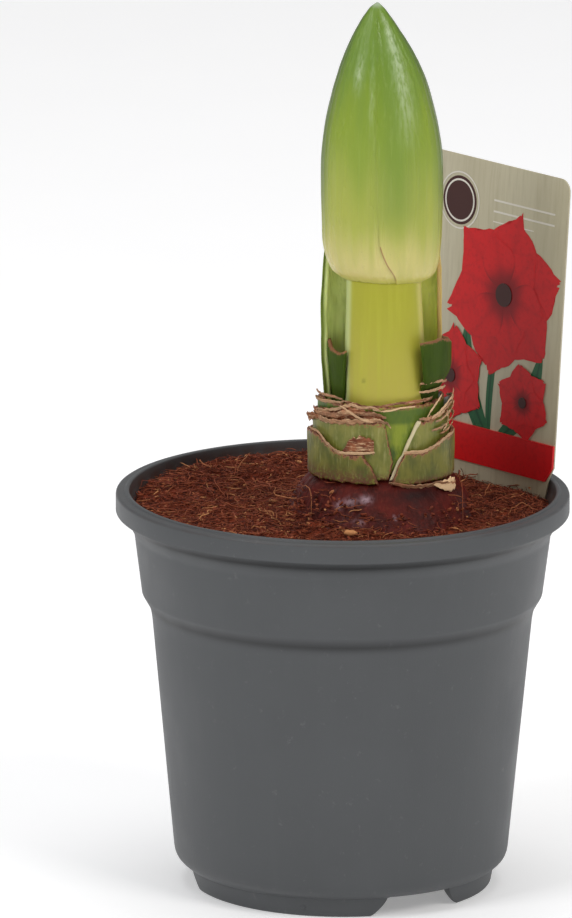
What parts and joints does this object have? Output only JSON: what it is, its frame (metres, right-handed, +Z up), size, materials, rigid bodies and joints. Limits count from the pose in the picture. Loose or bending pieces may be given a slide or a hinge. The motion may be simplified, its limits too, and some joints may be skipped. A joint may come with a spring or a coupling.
{
  "type": "potted amaryllis",
  "caption": "Amaryllis bulb sprouting in a round plastic grow pot filled with coir, with a closed flower bud on a short stem, cut leaves and a plant label at the back.",
  "frame": {"origin": "centre of the pot's footprint, on the surface that it stands on", "axes": "+Z up along the pot's axis, the front with the bud's seam faces -Y, the plant label stands at the back on the +X side"},
  "size_m": [0.1204, 0.1204, 0.2416],
  "materials": {
    "pot_plastic": "satin",
    "coir": "matte",
    "bulb_tunic": "satin",
    "sheath": "satin",
    "leaf": "satin",
    "stem": "satin",
    "spathe": "satin",
    "label_print": "gloss"
  },
  "bodies": {
    "root": {"pot": "pot_plastic", "growing_medium": "coir", "bulb": "bulb_tunic", "sheath_outer_left": "sheath", "sheath_outer_right": "sheath", "sheath_middle_left": "sheath", "sheath_middle_right": "sheath", "sheath_inner": "sheath", "leaf_base_left": "leaf", "leaf_base_right": "leaf", "leaf_left": "leaf", "leaf_right": "leaf", "scape": "stem", "spathe_left": "spathe", "spathe_right": "spathe", "plant_label": "label_print"}
  },
  "joints": []
}
